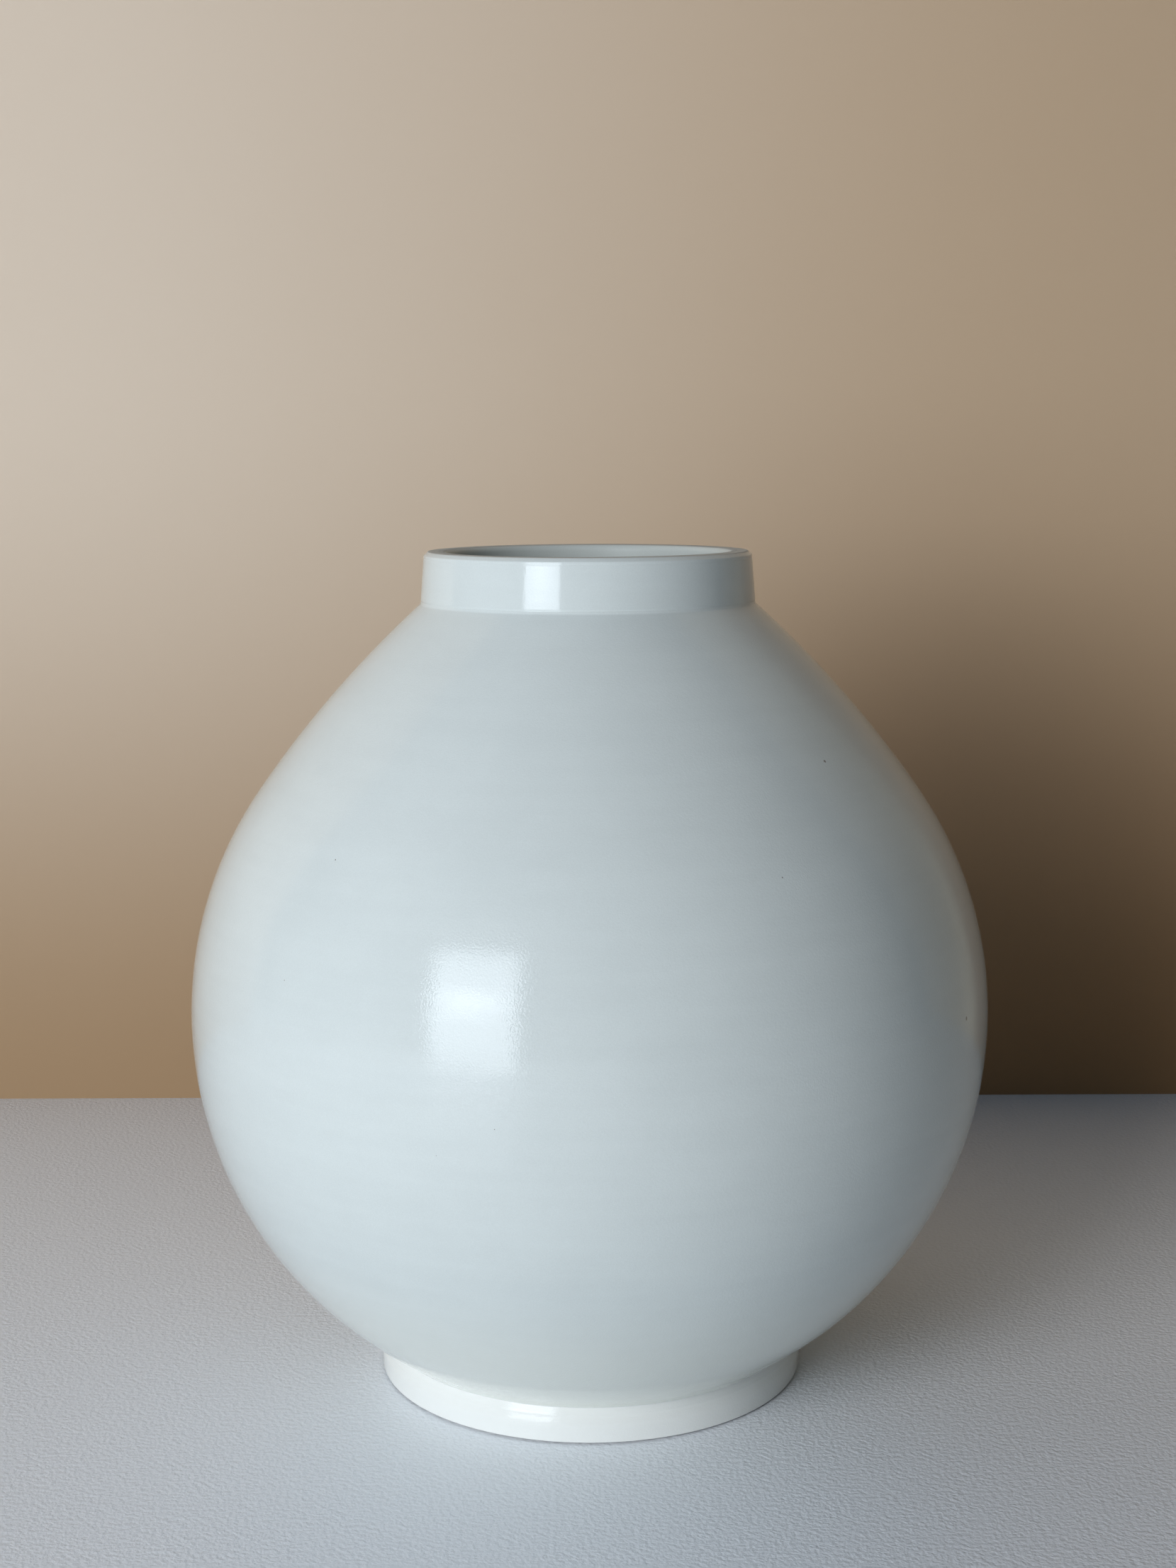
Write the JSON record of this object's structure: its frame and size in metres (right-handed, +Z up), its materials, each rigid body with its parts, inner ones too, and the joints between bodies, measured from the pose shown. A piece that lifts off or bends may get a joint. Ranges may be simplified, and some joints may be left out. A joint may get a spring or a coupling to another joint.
{
  "type": "moon jar",
  "caption": "Round-bellied porcelain jar of thrown bowls luted at the belly, with a short upright neck, a wide mouth and a low foot ring, under pale blue-white glaze, for storage or display.",
  "frame": {"origin": "on the table, at the centre of the foot ring", "axes": "+Z up along the jar's axis, out of the mouth; -Y towards the viewer of the picture"},
  "size_m": [0.3355, 0.3354, 0.35],
  "materials": {
    "bare_clay": "fired white clay, unglazed and matt",
    "slip": "fired slip, matt",
    "glaze": "pale blue-white glaze, glossy with a fine ripple"
  },
  "bodies": {
    "root": {"foot_ring": "bare_clay", "foot_slip_seam": "slip", "lower_bowl": "bare_clay", "belly_slip_seam": "slip", "upper_bowl": "bare_clay", "neck_slip_seam": "slip", "neck_collar": "bare_clay", "outer_glaze": "glaze", "inner_glaze": "glaze", "foot_well_glaze": "glaze"}
  },
  "joints": []
}
